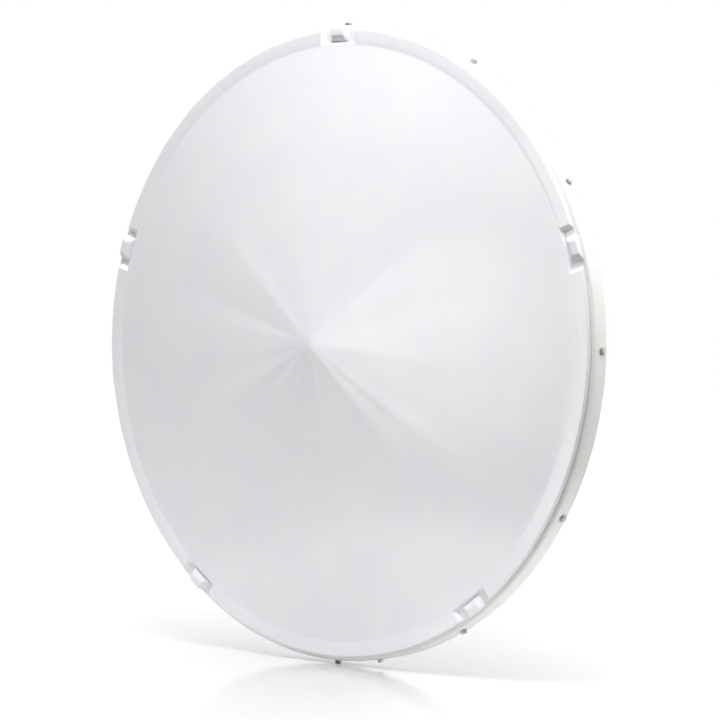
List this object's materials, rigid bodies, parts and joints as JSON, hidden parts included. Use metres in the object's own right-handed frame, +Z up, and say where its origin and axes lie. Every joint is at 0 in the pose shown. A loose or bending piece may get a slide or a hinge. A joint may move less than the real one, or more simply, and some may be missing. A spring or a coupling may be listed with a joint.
{
  "type": "parabolic dish antenna",
  "caption": "Round parabolic dish antenna under a conical white radome, with a bolted shroud, a feed housing and a tilting bracket that clamps to a mast.",
  "frame": {"origin": "centre of the raised flat pad on the rear of the pole bracket's plate, between the two pairs of mast jaws", "axes": "+Z up, +Y back towards the mast, so the dish looks along -Y; +X to the right of a viewer in front of the dish"},
  "size_m": [1.0606, 0.4743, 1.0606],
  "materials": {
    "radome_plastic": "satin white moulded plastic",
    "clip_plastic": "satin white moulded plastic",
    "shroud_paint": "warm white powder coat",
    "reflector_paint": "white powder coat",
    "feed_casting": "light grey paint on a casting",
    "port_metal": "nickel plated",
    "galvanised_steel": "hot-dip galvanised",
    "stainless_fastener": "plain stainless steel"
  },
  "bodies": {
    "root": {"radome": "radome_plastic", "radome_clip_1": "clip_plastic", "radome_clip_2": "clip_plastic", "radome_clip_3": "clip_plastic", "radome_clip_4": "clip_plastic", "radome_clip_5": "clip_plastic", "shroud": "shroud_paint", "reflector": "reflector_paint", "rim_bolt_01": "stainless_fastener", "rim_bolt_02": "stainless_fastener", "rim_bolt_03": "stainless_fastener", "rim_bolt_04": "stainless_fastener", "rim_bolt_05": "stainless_fastener", "rim_bolt_06": "stainless_fastener", "rim_bolt_07": "stainless_fastener", "rim_bolt_08": "stainless_fastener", "rim_bolt_09": "stainless_fastener", "rim_bolt_10": "stainless_fastener", "rim_bolt_11": "stainless_fastener", "rim_bolt_12": "stainless_fastener", "rim_bolt_13": "stainless_fastener", "hub_pan": "reflector_paint", "feed_housing": "feed_casting", "feed_port_left": "port_metal", "feed_port_right": "port_metal", "dish_bracket": "galvanised_steel", "pole_bracket": "galvanised_steel", "pivot_bolt_left": "stainless_fastener", "pivot_bolt_right": "stainless_fastener", "lock_bolt_left": "stainless_fastener", "lock_bolt_right": "stainless_fastener", "front_jaw_upper": "galvanised_steel", "front_jaw_lower": "galvanised_steel", "rear_jaw_upper": "galvanised_steel", "rear_jaw_lower": "galvanised_steel", "clamp_bolt_upper_left": "stainless_fastener", "clamp_bolt_upper_right": "stainless_fastener", "clamp_bolt_lower_left": "stainless_fastener", "clamp_bolt_lower_right": "stainless_fastener"}
  },
  "joints": []
}
